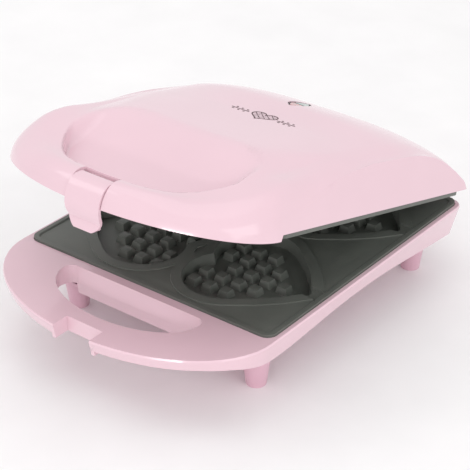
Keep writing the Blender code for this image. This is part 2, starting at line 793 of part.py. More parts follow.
def crease_inset(edge_y):
    """How far in from the lid's edge the side wall meets its top."""
    return max((crease_z(edge_y) - LID_SIDE_Z) * LID_DRAFT, 0.5)


def lid_outline(inset):
    corner = max(6.0 - inset * 0.1, 3.0)
    return d_outline(
        LID_HALF_WIDTH - inset,
        LID_REAR_Y - inset,
        corner,
        LID_FRONT_Y,
        LID_REACH - inset,
    )


def lid_surface():
    """The lid's outer surface in rings: up the side wall to its crease, then over the top."""
    edge, inner = lid_outline(0.0), lid_outline(LID_INSET)
    bm = bmesh.new()
    rings = [[bm.verts.new((x, y, lid_bottom(y))) for x, y in edge]]
    for share in (0.5, 1.0):
        ring = []
        for a, b in zip(edge, inner):
            front = 1.0 - between(a[1], -120.0, -109.0)
            inset = share * (crease_inset(a[1]) + 2.0 * front)
            x, y = along(a, b, inset / LID_INSET)
            wall = LID_SIDE_Z + inset / LID_DRAFT
            z = wall + (lid_rounded(x, y, inset, a[1]) - wall) * front
            ring.append(bm.verts.new((x, y, z)))
        rings.append(ring)
    for step in (3.0, 7.0, 12.0, 18.0, 28.0, LID_INSET):
        ring = []
        for a, b in zip(edge, inner):
            front = 1.0 - between(a[1], -120.0, -109.0)
            crease = crease_inset(a[1]) + 2.0 * front
            inset = crease + (LID_INSET - crease) * step / LID_INSET
            x, y = along(a, b, inset / LID_INSET)
            ring.append(bm.verts.new((x, y, lid_rounded(x, y, inset, a[1]))))
        rings.append(ring)
    middle = (0.0, 8.0)
    for share in (0.11, 0.24, 0.42, 0.68):
        places = [along(point, middle, share) for point in inner]
        rings.append([bm.verts.new((x, y, lid_inside_height(x, y))) for x, y in places])
    for outer, nested in zip(rings, rings[1:]):
        bridge(bm, outer, nested)
    top = bm.verts.new((*middle, lid_inside_height(*middle)))
    last = rings[-1]
    for i in range(len(last)):
        bm.faces.new((last[i], last[(i + 1) % len(last)], top))
    return finish_open_mesh(bm, "lid_housing")


def inside_shell(point):
    """The middle of the lid's wall above a point."""
    return lid_inside_height(*point) - 0.55 * WALL


def window_outline(grow):
    """A pointed oval on the lid's top, with its points to the front and the rear."""
    half, depth = WINDOW_HALF_Y + grow, WINDOW_HALF_X + grow
    radius = (half * half + depth * depth) / (2 * depth)
    spread = math.degrees(math.asin(half / radius))
    left = arc((radius - depth, WINDOW_Y), radius, 180 - spread, 180 + spread, 8)
    right = arc((depth - radius, WINDOW_Y), radius, -spread, spread, 8)
    return left + right[1:-1]


def window_plane(point):
    """The height of a flat that follows the lid's slope along the window."""
    front, rear = WINDOW_Y - WINDOW_HALF_Y, WINDOW_Y + WINDOW_HALF_Y
    start, end = lid_inside_height(0.0, front), lid_inside_height(0.0, rear)
    return start + (end - start) * (point[1] - front) / (rear - front)


def window_piece(name, outline, depth, drop, look):
    """A piece of the window, from depth below its plane to drop below it."""
    levels = [(outline, lambda point: window_plane(point) - depth)]
    levels.append((outline, lambda point: window_plane(point) - drop))
    return loft(name, levels, look, lid_frame)


def half_window(name, side, gap):
    """What lies more than gap before or behind the slanting line across the window's middle."""
    middle, reach = WINDOW_Y + side * gap, 9.0
    line = [(-reach, middle + reach * WINDOW_SLANT), (reach, middle - reach * WINDOW_SLANT)]
    far = [(reach, WINDOW_Y + side * 20.0), (-reach, WINDOW_Y + side * 20.0)]
    return prism(name, line + far, 60.0, 120.0, None, lid_frame)


def make_lid_housing():
    shell = add_object("lid_housing", lid_surface(), PINK, lid_frame)
    solid = shell.modifiers.new("thickness", "SOLIDIFY")
    solid.thickness = WALL * MM
    solid.offset = -1.0
    add_latch_block(shell)
    for sx in (-1, 1):
        add_lid_lug(shell, sx)
    for side, place in corner_places(LID_POST_X, LID_POST_Y).items():
        circle = arc(place, 4.0, 0, 330, 11)
        levels = [(circle, FRAME_Z + 2.0 + GAP), (circle, inside_shell)]
        cut(shell, loft("add_lid_post_" + side, levels, None, lid_frame), "UNION")
        ends = ((*place, 50.0), (*place, FRAME_Z + 13.0))
        cut(shell, rod("cut_lid_post_" + side, *ends, TAP_R, None, lid_frame, segments=8))
    cut(shell, prism("cut_window", window_outline(0.3), 80.0, 110.0, None, lid_frame))
    return shell


def add_latch_block(shell):
    """The block inside the front bar that carries the latch pin, and the recess for the clip."""
    block = box("add_latch_block", (-20.5, -164.6, 57.2), (20.5, -157.6, 68.4), None, lid_frame)
    cut(shell, block, "UNION")
    recess = box(
        "cut_latch_recess",
        (-LATCH_HALF - 0.6, -190.0, 50.0),
        (LATCH_HALF + 0.6, -156.6, 80.0),
        None,
        lid_frame,
    )
    cut(shell, recess)
    ends = ((-18.8, PIN_Y, PIN_Z), (18.8, PIN_Y, PIN_Z))
    cut(shell, rod("cut_latch_bore", *ends, PIN_R + GAP, None, lid_frame))


def add_lid_lug(shell, side):
    """A knuckle below the lid's rear edge, beside the base's ear."""
    name = ("left", "right")[side > 0]
    low, high = sorted((side * LUG_X[0], side * LUG_X[1]))
    outline = arc((HINGE_Y, HINGE_Z), 5.0, 215, 420, 12)
    outline += [(LID_REAR_Y - 2.8, 63.5), (LID_REAR_Y - 6.0, 63.5), (LID_REAR_Y - 6.0, 58.8)]
    cut(shell, sweep("add_lug_" + name, outline, "X", low, high, None, lid_frame), "UNION")
    ends = ((low - 2, HINGE_Y, HINGE_Z), (high + 2, HINGE_Y, HINGE_Z))
    cut(shell, rod("cut_lug_" + name, *ends, PIN_BORE_R, None, lid_frame))


def make_lid_frame():
    """The flat inner frame that carries the upper plate, screwed to four posts under the dome."""
    outline = rounded_rectangle(LID_HALF_WIDTH - 5.2, 108.0, 9.0, middle=(0, 1.0))
    frame = prism("lid_inner_frame", outline, FRAME_Z, FRAME_Z + 2.0, PINK_DARK, lid_frame)
    cut(frame, prism("cut_frame_opening", shelf_opening(), 50.0, 70.0, None, lid_frame))
    for side, place in corner_places(LID_POST_X, LID_POST_Y).items():
        ends = ((*place, 50.0), (*place, 70.0))
        cut(frame, rod("cut_frame_hole_" + side, *ends, 1.9, None, lid_frame, segments=12))
        make_screw(
            "screw_lid_" + side,
            (*place, FRAME_Z - GAP),
            head_radius=2.6,
            shank_end=12.0,
            frame=lid_frame,
            head_height=1.0,
        )
    return frame


def make_bar_cover():
    """The plate that closes the underside of the lid's front bar."""
    outline = [point for point in lid_outline(4.6) if point[1] < LID_FRONT_Y + 0.01]
    cover = prism("lid_bar_cover", outline, LID_BAR_Z + 0.9, LID_BAR_Z + 2.9, PINK_DARK, lid_frame)
    ends = ((-21.5, -200.0, 40.0), (21.5, -152.8, 70.0))
    cut(cover, box("cut_bar_cover", *ends, None, lid_frame))
    return cover


def make_latch():
    """The clip is a curved tongue that hangs from its pin and hooks under the handle's notch."""
    ends = ((-18.3, PIN_Y, PIN_Z), (18.3, PIN_Y, PIN_Z))
    rod("latch_pin", *ends, PIN_R, STEEL, lid_frame, segments=16)
    outer = arc((PIN_Y, PIN_Z), 3.2, -100, 120, 8)
    outer += [(-166.2, 68.0), (-168.2, 66.9), (-170.6, 64.6), (-172.0, 61.8), (-172.9, 58.2)]
    outer += [(-173.1, 54.6), (-172.5, 50.6), (-171.0, 47.0), (-168.9, 44.2), (-167.9, 42.6)]
    outer += [(-168.2, 39.6), (-168.8, 36.8), (-167.3, 36.4), (-166.4, 38.6)]
    hook = [(-164.8, 38.8), (-164.7, 40.2), (-166.2, 40.6), (-166.3, 42.6), (-167.2, 45.2)]
    inner = [(-169.0, 47.9), (-170.2, 51.2), (-170.7, 54.6), (-170.5, 57.8), (-169.7, 60.8)]
    inner += [(-168.4, 63.2), (-166.6, 64.7)]
    profile = outer + hook + inner
    clip = sweep("latch_clip", profile, "X", -LATCH_HALF, LATCH_HALF, PINK, latch_frame)
    ends = ((-20, PIN_Y, PIN_Z), (20, PIN_Y, PIN_Z))
    cut(clip, rod("cut_clip_bore", *ends, PIN_R + GAP, None, latch_frame))
    tongue = arc((LATCH_HALF - 11.4, 47.6), (11.4, 12.1), -90, 0, 8) + [(LATCH_HALF + 1.0, 80.0)]
    tongue = tongue + [(-x, z) for x, z in reversed(tongue)]
    cut(clip, sweep("keep_clip_tongue", tongue, "Y", -190.0, -140.0, None, latch_frame), "INTERSECT")
    return clip


def make_indicator():
    """A grey bezel with a red and a green lens, and their lamps on a holder below."""
    bezel = window_piece("indicator_bezel", window_outline(0.0), 5.0, 0.2, BEZEL)
    top = lid_inside_height(0.0, WINDOW_Y)
    for name, side, look in (("red", -1, RED_LENS), ("green", 1, GREEN_LENS)):
        lens = window_piece("lens_" + name, window_outline(-1.3), 4.0, 0.0, look)
        cut(lens, half_window("keep_lens_" + name, side, 0.8), "INTERSECT")
        opening = prism("cut_bezel_" + name, window_outline(-0.8), 80.0, 110.0, None, lid_frame)
        cut(opening, half_window("keep_opening_" + name, side, 0.3), "INTERSECT")
        cut(bezel, opening)
        turned(
            "lamp_" + name,
            [(0, -4.4), (2.0, -4.0), (2.2, -3.0), (2.2, 2.2), (1.2, 3.4), (0, 3.8)],
            (0.0, WINDOW_Y + side * 6.0, top - 9.4),
            GLASS,
            lid_frame,
            segments=14,
        )
    ends = ((-4.5, WINDOW_Y - 12.0, top - 16.4), (4.5, WINDOW_Y + 12.0, top - 14.4))
    box("lamp_holder", *ends, CERAMIC, lid_frame)


def make_hinge_pins():
    for side in (-1, 1):
        name = ("left", "right")[side > 0]
        low, high = sorted((side * (LUG_X[0] - 1.0), side * (EAR_X[1] + 1.0)))
        ends = ((low, HINGE_Y, HINGE_Z), (high, HINGE_Y, HINGE_Z))
        rod("hinge_pin_" + name, *ends, HINGE_PIN_R, STEEL, base_frame, segments=16)


def make_base_electrics():
    """The thermostat, the terminal block and the cord's bush in the base."""
    turned(
        "thermostat",
        [(0, 0), (7.0, 0), (7.0, 3.0), (8.4, 3.2), (8.4, 6.0), (0, 6.0)],
        (-40.0, 0.0, REFLECTOR_Z + 0.8 + GAP),
        CERAMIC,
        base_frame,
    )
    block_low = (44.0, 95.0, COVER_Z + COVER_THICK + GAP)
    box("terminal_block", block_low, (64.0, 102.0, 41.0), CERAMIC, base_frame)
    bush = turned(
        "cord_inlet_bush",
        [(INLET_R, -6.0), (INLET_R, 2.6), (7.2, 2.9), (7.2, 5.4), (6.2, 6.4)],
        (INLET_X, INLET_Y, INLET_Z),
        RUBBER,
        base_frame,
        along_y=True,
    )
    ends = ((INLET_X, INLET_Y - 10, INLET_Z), (INLET_X, INLET_Y + 10, INLET_Z))
    cut(bush, rod("cut_bush", *ends, 3.6))


clear_scene()
parts = new_collection("waffle_maker")
cutters = new_collection("cutters")
base_frame = new_frame("plate_middle", (0, PLATE_MIDDLE_Y, 0))
lid_frame = new_frame("lid_axis", (0, HINGE_Y, HINGE_Z), base_frame, -math.radians(LID_OPEN_DEGREES))
latch_frame = new_frame("latch_axis", (0, PIN_Y - HINGE_Y, PIN_Z - HINGE_Z), lid_frame)

make_base_housing()
make_bottom_cover()
make_plate("lower_plate", base_frame, 1)
make_internals("lower", base_frame, 1)
make_base_electrics()
make_hinge_pins()
make_lid_housing()
make_lid_frame()
make_bar_cover()
make_plate("upper_plate", lid_frame, -1)
make_internals("upper", lid_frame, -1)
make_indicator()
make_latch()
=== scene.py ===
"""The looks of a heart waffle maker: glossy pink shells, dark coated plates and a lit window.

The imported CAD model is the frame. The lid's shell is rebuilt here as a fine surface, the other
visible pieces are refined copies of their CAD nodes, and everything gets a procedural material.
Lengths named here are in millimetres, in the closed lid's own drawing round the plate's middle.
"""

import json
import math

import bmesh
import bpy
from mathutils import Matrix, Vector


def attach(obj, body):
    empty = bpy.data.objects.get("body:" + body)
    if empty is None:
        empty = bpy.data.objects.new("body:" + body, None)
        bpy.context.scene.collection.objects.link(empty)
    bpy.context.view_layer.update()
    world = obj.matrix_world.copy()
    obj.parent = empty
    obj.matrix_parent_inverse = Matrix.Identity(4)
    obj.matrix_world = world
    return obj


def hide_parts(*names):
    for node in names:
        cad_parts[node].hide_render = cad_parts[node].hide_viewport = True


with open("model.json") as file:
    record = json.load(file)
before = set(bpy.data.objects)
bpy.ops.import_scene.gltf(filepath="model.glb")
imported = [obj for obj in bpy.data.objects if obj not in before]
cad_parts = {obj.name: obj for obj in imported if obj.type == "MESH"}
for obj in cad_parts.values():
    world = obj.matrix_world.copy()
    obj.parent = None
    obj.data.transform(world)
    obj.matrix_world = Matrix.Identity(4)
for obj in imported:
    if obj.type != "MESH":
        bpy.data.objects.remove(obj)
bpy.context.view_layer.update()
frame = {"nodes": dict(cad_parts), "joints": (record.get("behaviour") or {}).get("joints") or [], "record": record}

MM = 0.001
LID_JOINT = next(joint for joint in frame["joints"] if joint["name"] == "lid_hinge")
HINGE = Vector(LID_JOINT["pos_m"])
LID_OPEN = -math.radians(LID_JOINT["range_deg"][0])

# The lid, in the closed lid's drawing.
HINGE_Y = 123.0
HINGE_Z = 52.0
WALL = 2.6
LID_HALF_WIDTH = 102.4
LID_SIDE_Z = 57.8
LID_BAR_Z = 53.8
LID_DRAFT = 0.35
LID_REAR_Y = 118.0
LID_FRONT_Y = -112.0
LID_REACH = 60.5
LID_TOP_Z = 97.9
DOME_PEAK_Y = 29.0
DOME_SIDE_DROP = 10.4
DOME_FRONT_DROP = 5.0
DOME_REAR_DROP = 17.0
FLAT_DROP = 3.0
BAR_Z = 70.5
LID_INSET = 40.0
CREASE_PEAK_Y = 15.0
CREASE_PEAK_Z = 86.5
CREASE_FRONT_DROP = 27.5
CREASE_REAR_DROP = 28.5
CREASE_GAP = 2.0
CREASE_START = (-120.0, -109.0)
POCKET_FLOOR_Z = 60.0
POCKET_HALF = 68.0
POCKET_MIDDLE_Y = -157.0
POCKET_SWEEP = 44.0
POCKET_RISE = 34.0
POCKET_EDGE = 6.5
BAR_RISE = 13.5
DOME_REACH = 72.0
LATCH_HALF = 13.4
WINDOW_Y = 42.0
WINDOW_HALF_Y = 12.7
WINDOW_HALF_X = 6.4
LUG_INNER_X = 48.0
LUG_OUTER_X = 57.4
LUG_RADIUS = 5.0
LUG_TOP_Y = HINGE_Y - 7.8
LUG_WALL_Y = HINGE_Y - 11.0
LUG_TOP_Z = 63.5
LUG_LOW_Z = 58.8
RECESS_REAR_Y = -156.6
LID_MIDDLE = (0.0, 8.0)
TOP_RINGS = 28

# The ornament printed on the lid.
PRINT_MIDDLE = (4.0, -6.0)
PRINT_WIDTH = 52.0
PRINT_LIFT = 0.12
HEART_WIDTH = 19.0
GRID_PITCH = 4.6


def lid_placing():
    """From the closed lid's millimetre drawing to the world, with the lid at rest."""
    back = Matrix.Translation((0, -HINGE_Y, -HINGE_Z))
    return Matrix.Translation(HINGE) @ Matrix.Rotation(-LID_OPEN, 4, "X") @ Matrix.Scale(MM, 4) @ back


# Shading nodes.


def new_material(name):
    made = bpy.data.materials.new(name)
    made.use_nodes = True
    nodes = made.node_tree.nodes
    return made, nodes, made.node_tree.links, nodes["Principled BSDF"]


def noise(nodes, links, scale, detail=3.0, rough=0.5):
    """A noise texture in object space, at scale features to the metre."""
    place = nodes.new("ShaderNodeTexCoord")
    texture = nodes.new("ShaderNodeTexNoise")
    texture.inputs["Scale"].default_value = scale
    texture.inputs["Detail"].default_value = detail
    texture.inputs["Roughness"].default_value = rough
    links.new(place.outputs["Object"], texture.inputs["Vector"])
    return texture


def ramp(nodes, links, source, stops):
    """A colour ramp over source: stops is a list of (position, colour)."""
    made = nodes.new("ShaderNodeValToRGB")
    elements = made.color_ramp.elements
    while len(elements) < len(stops):
        elements.new(0.5)
    for element, (position, colour) in zip(elements, stops):
        element.position = position
        element.color = (*colour, 1.0)
    links.new(source, made.inputs["Fac"])
    return made


def spread(nodes, links, source, low, high):
    made = nodes.new("ShaderNodeMapRange")
    made.inputs["From Min"].default_value = 0.3
    made.inputs["From Max"].default_value = 0.7
    made.inputs["To Min"].default_value = low
    made.inputs["To Max"].default_value = high
    links.new(source, made.inputs["Value"])
    return made


def bump(nodes, links, source, shader, strength, distance):
    made = nodes.new("ShaderNodeBump")
    made.inputs["Strength"].default_value = strength
    made.inputs["Distance"].default_value = distance
    links.new(source, made.inputs["Height"])
    links.new(made.outputs["Normal"], shader.inputs["Normal"])
    return made


def tinted(colour, factor):
    return tuple(min(channel * factor, 1.0) for channel in colour)


def moulded(name, colour, roughness, coat=0.0, grain=0.02, metallic=0.0):
    """Moulded plastic or metal: faint tone shifts, handling marks in the gloss, a fine surface grain."""
    made, nodes, links, shader = new_material(name)
    cloud = noise(nodes, links, 14.0)
    stops = [(0.25, tinted(colour, 0.97)), (0.75, tinted(colour, 1.02))]
    tone = ramp(nodes, links, cloud.outputs["Fac"], stops)
    links.new(tone.outputs["Color"], shader.inputs["Base Color"])
    marks = noise(nodes, links, 60.0, detail=6.0, rough=0.65)
    gloss = spread(nodes, links, marks.outputs["Fac"], roughness * 0.85, roughness * 1.25)
    links.new(gloss.outputs["Result"], shader.inputs["Roughness"])
    fine = noise(nodes, links, 900.0, detail=2.0)
    bump(nodes, links, fine.outputs["Fac"], shader, grain, 0.0003)
    shader.inputs["Metallic"].default_value = metallic
    shader.inputs["Coat Weight"].default_value = coat
    shader.inputs["Coat Roughness"].default_value = 0.05
    return made


def coated():
    """The plates' non-stick coating: dark satin with a fine pebbled grain and paler rubbed spots."""
    made, nodes, links, shader = new_material("nonstick")
    cloud = noise(nodes, links, 30.0, detail=5.0)
    tone = ramp(
        nodes,
        links,
        cloud.outputs["Fac"],
        [(0.3, (0.112, 0.122, 0.108)), (0.7, (0.144, 0.156, 0.138))],
    )
    links.new(tone.outputs["Color"], shader.inputs["Base Color"])
    gloss = spread(nodes, links, cloud.outputs["Fac"], 0.40, 0.50)
    links.new(gloss.outputs["Result"], shader.inputs["Roughness"])
    grain = noise(nodes, links, 1400.0, detail=2.0)
    bump(nodes, links, grain.outputs["Fac"], shader, 0.12, 0.0002)
    shader.inputs["Specular IOR Level"].default_value = 0.45
    return made


def brushed(name, colour, roughness):
    """Bare metal with short scratches that run one way."""
    made, nodes, links, shader = new_material(name)
    place = nodes.new("ShaderNodeTexCoord")
    stretch = nodes.new("ShaderNodeMapping")
    stretch.inputs["Scale"].default_value = (60.0, 900.0, 900.0)
    texture = nodes.new("ShaderNodeTexNoise")
    texture.inputs["Scale"].default_value = 1.0
    links.new(place.outputs["Object"], stretch.inputs["Vector"])
    links.new(stretch.outputs["Vector"], texture.inputs["Vector"])
    stops = [(0.3, tinted(colour, 0.85)), (0.7, tinted(colour, 1.1))]
    tone = ramp(nodes, links, texture.outputs["Fac"], stops)
    links.new(tone.outputs["Color"], shader.inputs["Base Color"])
    gloss = spread(nodes, links, texture.outputs["Fac"], roughness * 0.8, roughness * 1.3)
    links.new(gloss.outputs["Result"], shader.inputs["Roughness"])
    bump(nodes, links, texture.outputs["Fac"], shader, 0.05, 0.0002)
    shader.inputs["Metallic"].default_value = 1.0
    return made


def lens(name, colour):
    """Tinted clear plastic with a faint cloudiness."""
    made = moulded(name, colour, 0.08, coat=0.6, grain=0.01)
    shader = made.node_tree.nodes["Principled BSDF"]
    shader.inputs["Transmission Weight"].default_value = 0.25
    shader.inputs["IOR"].default_value = 1.49
    return made


PINK = moulded("pink_gloss", (0.800, 0.575, 0.640), 0.16, coat=0.25)
PINK_SATIN = moulded("pink_satin", (0.74, 0.47, 0.56), 0.36, grain=0.08)
COATING = coated()
STEEL = brushed("zinc_plated", (0.62, 0.61, 0.60), 0.30)
SHEET = brushed("aluminised", (0.72, 0.72, 0.71), 0.38)
SHEATH = brushed("heated_sheath", (0.28, 0.26, 0.25), 0.48)
RED = lens("red_clear", (0.62, 0.09, 0.11))
GREEN = lens("green_clear", (0.24, 0.40, 0.35))
BEZEL = moulded("dark_bezel", (0.05, 0.05, 0.055), 0.35)
CERAMIC = moulded("off_white", (0.80, 0.78, 0.72), 0.55, grain=0.15)
GLASS = moulded("lamp", (0.80, 0.76, 0.74), 0.06)
RUBBER = moulded("black_rubber", (0.025, 0.025, 0.025), 0.65, grain=0.2)
INK = moulded("ink", (0.060, 0.014, 0.022), 0.45)

LOOKS = {
    "housing_pink": PINK,
    "cover_pink": PINK_SATIN,
    "nonstick_coating": COATING,
    "steel": STEEL,
    "aluminised_sheet": SHEET,
    "element_sheath": SHEATH,
    "red_lens": RED,
    "green_lens": GREEN,
    "bezel_grey": BEZEL,
    "ceramic": CERAMIC,
    "lamp_glass": GLASS,
    "grommet_black": RUBBER,
}


# Meshes.


def new_piece(name, mesh, look, body, slot, *nodes):
    """A piece that shows look, moves with body and stands for the CAD nodes named last."""
    piece = bpy.data.objects.new(name, mesh)
    bpy.context.scene.collection.objects.link(piece)
    mesh.materials.clear()
    mesh.materials.append(look)
    if nodes:
        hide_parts(*nodes)
    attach(piece, body)
    return piece


def smooth(mesh, degrees):
    mesh.shade_smooth()
    mesh.set_sharp_from_angle(angle=math.radians(degrees))


def refined(node, body, slot, width, degrees=32.0, segments=3):
    """A copy of a CAD node with its facets merged and its edges rounded."""
    mesh = frame["nodes"][node].data.copy()
    bm = bmesh.new()
    bm.from_mesh(mesh)
    bmesh.ops.remove_doubles(bm, verts=bm.verts, dist=2e-6)
    bmesh.ops.dissolve_limit(bm, angle_limit=math.radians(0.6), verts=bm.verts, edges=bm.edges)
    bm.to_mesh(mesh)
    bm.free()
    piece = new_piece(node + "_look", mesh, LOOKS[slot], body, slot, node)
    if width:
        rounding = piece.modifiers.new("rounding", "BEVEL")
        rounding.width = width * MM
        rounding.segments = segments
        rounding.limit_method = "ANGLE"
        rounding.angle_limit = math.radians(degrees)
        rounding.harden_normals = True
    smooth(mesh, degrees)
    return piece


def between(value, low, high):
    """0 below low, 1 above high, and a smooth rise from one to the other."""
    t = min(max((value - low) / (high - low), 0.0), 1.0)
    return t * t * (3 - 2 * t)


def arc(centre, radius, start, end, steps):
    """Points along an arc, angles in degrees. radius may be a pair for an ellipse."""
    rx, ry = radius if isinstance(radius, tuple) else (radius, radius)
    angles = [math.radians(start + (end - start) * i / steps) for i in range(steps + 1)]
    return [(centre[0] + rx * math.cos(a), centre[1] + ry * math.sin(a)) for a in angles]


def along(start, end, share):
    return [a + (b - a) * share for a, b in zip(start, end)]


# The lid's surface.


def lid_dome(x, y):
    """A dome that falls to both sides, gently to the front and steeply to the rear."""
    z = LID_TOP_Z - DOME_SIDE_DROP * abs(x / 92.0) ** 3.26
    away = abs(y - DOME_PEAK_Y)
    if y < DOME_PEAK_Y:
        z -= DOME_FRONT_DROP * (away / 150.0) ** 0.81
    else:
        z -= DOME_REAR_DROP * (away / 80.0) ** 1.86
    middle = max(1.0 - (x / 75.0) ** 2, 0.0)
    return z - FLAT_DROP * middle * between(-y, -40.0, 10.0)


def pocket_front(x):
    """Where the front bar ends and the grip pocket behind it begins."""
    share = min(abs(x), POCKET_HALF + 8.0) / POCKET_HALF
    return POCKET_MIDDLE_Y + POCKET_SWEEP * share**3.0


def lid_height(x, y):
    """The dome, lowered to the front bar and hollowed by the grip pocket behind the bar."""
    bar = BAR_Z + BAR_RISE * between(y, -150.0, -90.0)
    behind = y - pocket_front(x)
    z = bar + (lid_dome(x, y) - bar) * between(behind, 0.0, DOME_REACH)
    floor = POCKET_FLOOR_Z + POCKET_RISE * between(y, -152.0, -62.0) ** 1.3
    floor += 6.0 * between(y, -40.0, 20.0)
    inside = between(behind, 0.0, POCKET_EDGE)
    inside *= between(-abs(x), -POCKET_HALF, -POCKET_HALF + 10.0)
    return z - inside * max(z - floor, 0.0)


def crease_z(y):
    """The height of the crease where the side wall meets the top, for an edge point at y."""
    if y < CREASE_PEAK_Y:
        share = min((CREASE_PEAK_Y - y) / (CREASE_PEAK_Y - LID_FRONT_Y), 1.0)
        return CREASE_PEAK_Z - CREASE_FRONT_DROP * share**2.3
    share = (y - CREASE_PEAK_Y) / (LID_REAR_Y - CREASE_PEAK_Y)
    return CREASE_PEAK_Z - CREASE_REAR_DROP * share**4.2


def crease_inset(edge_y):
    """How far in from the lid's edge the side wall meets its top."""
    return max((crease_z(edge_y) - LID_SIDE_Z) * LID_DRAFT, 0.5)


def lid_rounded(x, y, inset, edge_y):
    """The top surface at a point that lies inset from the edge point whose y is edge_y."""
    inside = lid_height(x, y)
    radius = 12.0 + 8.5 * between(abs(x), 30.0, 70.0)
    share = min(inset / radius, 1.0)
    front = LID_BAR_Z + (inside - LID_BAR_Z) * math.sqrt(1.0 - (1.0 - share) ** 2)
    share = min(max(inset - crease_inset(edge_y), 0.0) / 16.0, 1.0)
    low = min(crease_z(edge_y), inside)
    side = low + (inside - low) * (1.0 - (1.0 - share) ** 2.5)
    return front + (side - front) * between(edge_y, -128.0, -100.0)


def lid_outline(inset, front_steps=56, side_steps=30, corner_steps=12):
    """The lid's outline from above: half ellipse in front, straight sides, round rear corners."""
    width, rear = LID_HALF_WIDTH - inset, LID_REAR_Y - inset
    corner = max(6.0 - inset * 0.1, 3.0)
    half = arc((0, LID_FRONT_Y), (width, LID_REACH - inset), -90, 0, front_steps)
    half.append((width, LID_FRONT_Y + 1.0))
    for i in range(1, side_steps):
        half.append((width, LID_FRONT_Y + (rear - corner - LID_FRONT_Y) * i / side_steps))
    half += arc((width - corner, rear - corner), corner, 0, 90, corner_steps)
    half += [(width * share, rear) for share in (0.85, 0.7, 0.55, 0.4, 0.27, 0.13, 0.0)]
    left = [(-x, y) for x, y in reversed(half) if x > 1e-6]
    return half + left


def lid_rings():
    """Rings of points up the side wall to its crease, then over the top."""
    edge, inner = lid_outline(0.0), lid_outline(LID_INSET)
    rings = [[(x, y, LID_BAR_Z if y < LID_FRONT_Y + 0.8 else LID_SIDE_Z) for x, y in edge]]
    pairs = list(zip(edge, inner))
    for share in (0.25, 0.5, 0.75, 1.0):
        ring = []
        for a, b in pairs:
            front = 1.0 - between(a[1], *CREASE_START)
            inset = share * (crease_inset(a[1]) + CREASE_GAP * front)
            x, y = along(a, b, inset / LID_INSET)
            wall = LID_SIDE_Z + inset / LID_DRAFT
            ring.append((x, y, wall + (lid_rounded(x, y, inset, a[1]) - wall) * front))
        rings.append(ring)
    for step in [0.6, 1.3] + [2.0 + i for i in range(39)]:
        ring = []
        for a, b in pairs:
            crease = crease_inset(a[1]) + CREASE_GAP * (1.0 - between(a[1], *CREASE_START))
            inset = crease + (LID_INSET - crease) * step / LID_INSET
            x, y = along(a, b, inset / LID_INSET)
            ring.append((x, y, lid_rounded(x, y, inset, a[1])))
        rings.append(ring)
    for i in range(1, TOP_RINGS):
        places = [along(point, LID_MIDDLE, i / TOP_RINGS) for point in inner]
        rings.append([(x, y, lid_height(x, y)) for x, y in places])
    return rings


def lid_mesh():
    """The lid's outer surface, open below."""
    bm = bmesh.new()
    rings = [[bm.verts.new(place) for place in ring] for ring in lid_rings()]
    count = len(rings[0])
    for outer, nested in zip(rings, rings[1:]):
        for i in range(count):
            j = (i + 1) % count
            bm.faces.new((outer[i], outer[j], nested[j], nested[i]))
    top = bm.verts.new((*LID_MIDDLE, lid_height(*LID_MIDDLE)))
    for i in range(count):
        bm.faces.new((rings[-1][i], rings[-1][(i + 1) % count], top))
    bmesh.ops.recalc_face_normals(bm, faces=bm.faces)
    bm.faces.ensure_lookup_table()
    if bm.faces[len(bm.faces) - 1].normal.z < 0:
        bmesh.ops.reverse_faces(bm, faces=bm.faces)
    bm.transform(lid_placing())
    mesh = bpy.data.meshes.new("lid_shell")
    bm.to_mesh(mesh)
    bm.free()
    return mesh


def lid_solid(name, first, last):
    """A closed solid between two rings of points (x, y, z) in the closed lid's drawing."""
    bm = bmesh.new()
    rings = [[bm.verts.new(place) for place in ring] for ring in (first, last)]
    for i in range(len(first)):
        j = (i + 1) % len(first)
        bm.faces.new((rings[0][i], rings[0][j], rings[1][j], rings[1][i]))
    bm.faces.new(rings[0][::-1])
    bm.faces.new(rings[1])
    bmesh.ops.triangulate(bm, faces=[face for face in bm.faces if len(face.verts) > 4])
    bmesh.ops.recalc_face_normals(bm, faces=bm.faces)
    bm.transform(lid_placing())
    mesh = bpy.data.meshes.new(name)
    bm.to_mesh(mesh)
    bm.free()
    solid = bpy.data.objects.new(name, mesh)
    bpy.context.scene.collection.objects.link(solid)
    return solid


def lid_cutter(name, outline, low, high):
    """An upright prism that a Boolean takes away from the lid."""
    return lid_solid(name, *([(x, y, z) for x, y in outline] for z in (low, high)))


def lid_lug(name, side):
    """A solid hinge lug behind the lid's rear wall."""
    profile = arc((HINGE_Y, HINGE_Z), LUG_RADIUS, 215, 420, 20)
    profile += [(LUG_TOP_Y, LUG_TOP_Z), (LUG_WALL_Y, LUG_TOP_Z), (LUG_WALL_Y, LUG_LOW_Z)]
    ends = sorted((side * LUG_INNER_X, side * LUG_OUTER_X))
    return lid_solid(name, *([(x, y, z) for y, z in profile] for x in ends))


def window_outline(grow, steps=20):
    """A pointed oval on the lid's top, with its points to the front and the rear."""
    half, depth = WINDOW_HALF_Y + grow, WINDOW_HALF_X + grow
    radius = (half * half + depth * depth) / (2 * depth)
    spread_angle = math.degrees(math.asin(half / radius))
    left = arc((radius - depth, WINDOW_Y), radius, 180 - spread_angle, 180 + spread_angle, steps)
    right = arc((depth - radius, WINDOW_Y), radius, -spread_angle, spread_angle, steps)
    return left + right[1:-1]


def applied(piece):
    """The piece's mesh with its modifiers applied."""
    graph = bpy.context.evaluated_depsgraph_get()
    mesh = bpy.data.meshes.new_from_object(piece.evaluated_get(graph))
    piece.modifiers.clear()
    piece.data = mesh
    return mesh


